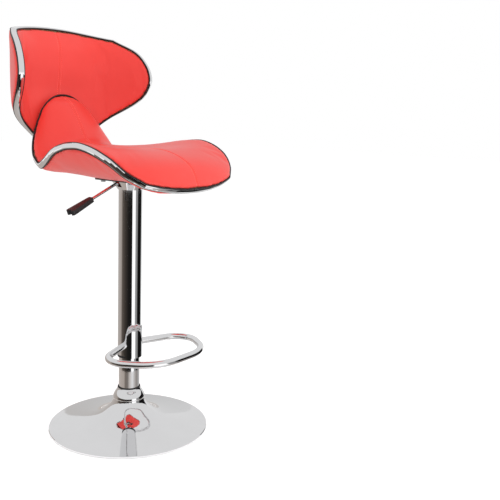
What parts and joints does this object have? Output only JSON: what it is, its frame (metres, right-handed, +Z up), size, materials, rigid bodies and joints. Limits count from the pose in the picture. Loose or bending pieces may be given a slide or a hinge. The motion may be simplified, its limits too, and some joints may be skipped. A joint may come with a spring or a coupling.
{
  "type": "adjustable swivel stool",
  "caption": "Gas-lift bar stool with a red butterfly seat, winged back, chrome footrest ring and trumpet base.",
  "frame": {"origin": "on the floor, on the column's axis", "axes": "+Z up; the sitter faces -Y; +X is on the sitter's left; the lever is on the -X side"},
  "size_m": [0.4238, 0.4927, 0.9682],
  "materials": {
    "chrome": "mirror chrome plate",
    "red_vinyl": "smooth satin vinyl",
    "black_plastic": "satin",
    "black_rubber": "matt",
    "steel": "bright zinc plate",
    "black_paint": "semi-gloss black",
    "iron": "raw casting",
    "plywood": "raw plywood"
  },
  "bodies": {
    "base": {"base_dish": "chrome", "ballast_plate": "iron", "floor_ring": "black_rubber", "tube_foot": "steel", "foot_bolts": "steel", "stand_tube": "chrome", "guide_bush": "black_plastic", "base_collar": "chrome", "collar_seal": "black_rubber", "bearing_lower_race": "steel", "bearing_balls": "steel", "ball_cage": "black_plastic"},
    "rod": {"piston_rod": "steel", "piston": "steel", "rod_clip": "steel", "bearing_upper_race": "steel", "rubber_buffer": "black_rubber"},
    "lever": {"lever_rod": "chrome", "lever_grip": "black_plastic", "lever_pivot": "steel"},
    "valve": {"release_pin": "steel"},
    "seat_unit": {"outer_sleeve": "chrome", "footrest_bracket": "chrome", "footrest_ring": "chrome", "lever_cup": "chrome", "seat_trim": "chrome", "backrest_trim": "chrome", "seat_pad": "red_vinyl", "seat_underside": "red_vinyl", "backrest_pad": "red_vinyl", "backrest_cover": "red_vinyl", "sleeve_bush": "black_plastic", "sleeve_spacer": "black_plastic", "rod_guide": "black_plastic", "backrest_spacers": "black_plastic", "taper_socket": "steel", "lever_ears": "steel", "plate_washers": "steel", "plate_bolts": "steel", "tee_nuts": "steel", "backrest_bolts": "steel", "gas_cylinder": "black_paint", "seat_plate": "black_paint", "base_board": "plywood", "seat_shell": "plywood", "backrest_shell": "plywood"}
  },
  "joints": [
    {"name": "swivel", "type": "hinge", "parent": "base", "child": "rod", "pos_m": [0, 0, 0], "axis": [0, 0, 1], "continuous": true},
    {"name": "height", "type": "slide", "parent": "rod", "child": "seat_unit", "axis": [0, 0, 1], "range_m": [-0.07, 0.145]},
    {"name": "lever", "type": "hinge", "parent": "seat_unit", "child": "lever", "pos_m": [-0.024, 0, 0.604], "axis": [0, 1, 0], "range_deg": [0, 6], "stiffness_Nm_per_rad": 2, "springref_deg": -4.58},
    {"name": "release_pin", "type": "slide", "parent": "seat_unit", "child": "valve", "axis": [0, 0, -1], "range_m": [0, 0.0026]}
  ],
  "couplings": [
    {"joint": "release_pin", "follows": "lever", "m_per_rad": 0.024}
  ]
}
